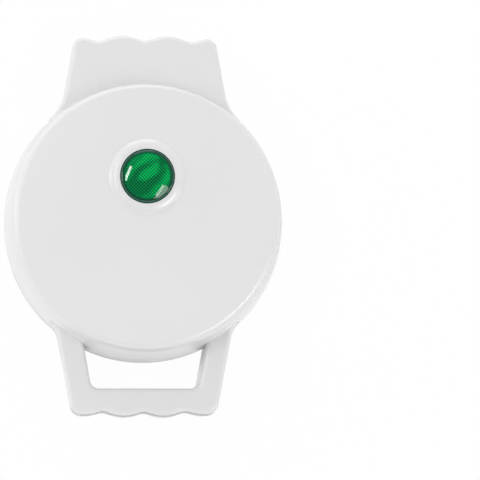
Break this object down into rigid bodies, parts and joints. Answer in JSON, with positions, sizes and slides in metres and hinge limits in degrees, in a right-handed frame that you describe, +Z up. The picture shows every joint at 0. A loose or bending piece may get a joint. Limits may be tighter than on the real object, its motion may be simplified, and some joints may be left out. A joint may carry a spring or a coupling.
{
  "type": "electric pizzelle maker",
  "caption": "Small round countertop pizzelle iron: hinged lid and base with engraved plates, scalloped loop handle, green indicator lens, rubber feet",
  "frame": {"origin": "centre of the overall box at its bottom, on the surface the rubber feet stand on", "axes": "+X is the object's right seen from the handle, +Y points to the hinge at the rear, +Z is up"},
  "size_m": [0.1208, 0.1636, 0.064],
  "materials": {
    "white_plastic": "smooth semi-gloss moulded white",
    "frame_plastic": "satin heat-resistant off-white",
    "plate_coating": "dark non-stick coat on cast aluminium",
    "bright_steel": "zinc plated",
    "sheet_aluminium": "mill sheet",
    "heater_steel": "heat-darkened sheath",
    "green_lens": "clear green prismatic lens",
    "lamp_glass": "clear bulb",
    "black_plastic": "black moulding",
    "foot_rubber": "matte rubber",
    "lead_red": "silicone sleeve",
    "lead_white": "silicone sleeve",
    "lead_orange": "silicone sleeve"
  },
  "bodies": {
    "base": {"base_shell": "white_plastic", "base_frame": "frame_plastic", "lower_bake_plate": "plate_coating", "lower_heater": "heater_steel", "lower_heater_pin_left": "bright_steel", "lower_heater_pin_right": "bright_steel", "lower_reflector": "sheet_aluminium", "fuse_strap": "bright_steel", "thermal_fuse": "bright_steel", "terminal_block": "frame_plastic", "cord_gland": "black_plastic", "foot_front_left": "foot_rubber", "foot_front_right": "foot_rubber", "foot_rear_left": "foot_rubber", "foot_rear_right": "foot_rubber", "base_lead_live": "lead_red", "base_lead_neutral": "lead_white", "element_lead": "lead_white", "fuse_supply_lead": "lead_red", "fuse_element_lead": "lead_orange", "base_frame_screw_1": "bright_steel", "base_frame_screw_2": "bright_steel", "base_frame_screw_3": "bright_steel", "base_frame_screw_4": "bright_steel", "base_plate_screw_1": "bright_steel", "base_plate_screw_2": "bright_steel", "base_plate_screw_3": "bright_steel", "fuse_strap_screw_1": "bright_steel", "fuse_strap_screw_2": "bright_steel"},
    "lid": {"lid_shell": "white_plastic", "lid_frame": "frame_plastic", "upper_bake_plate": "plate_coating", "upper_heater": "heater_steel", "upper_heater_pin_left": "bright_steel", "upper_heater_pin_right": "bright_steel", "upper_reflector": "sheet_aluminium", "thermostat_strap": "bright_steel", "thermostat": "black_plastic", "indicator_lens": "green_lens", "lens_retainer": "bright_steel", "lamp_holder": "frame_plastic", "neon_lamp": "lamp_glass", "lamp_lead_left": "lead_white", "lamp_lead_right": "lead_white", "lid_lead_live": "lead_red", "lid_lead_neutral": "lead_white", "thermostat_lead": "lead_orange", "hinge_pin_left": "bright_steel", "hinge_pin_right": "bright_steel", "lid_frame_screw_1": "bright_steel", "lid_frame_screw_2": "bright_steel", "lid_frame_screw_3": "bright_steel", "lid_frame_screw_4": "bright_steel", "lid_plate_screw_1": "bright_steel", "lid_plate_screw_2": "bright_steel", "lid_plate_screw_3": "bright_steel", "thermostat_strap_screw_1": "bright_steel", "thermostat_strap_screw_2": "bright_steel"}
  },
  "joints": [
    {"name": "lid_hinge", "type": "hinge", "parent": "base", "child": "lid", "pos_m": [0, 0.07212, 0.031], "axis": [-1, 0, 0], "range_deg": [0, 100]}
  ]
}
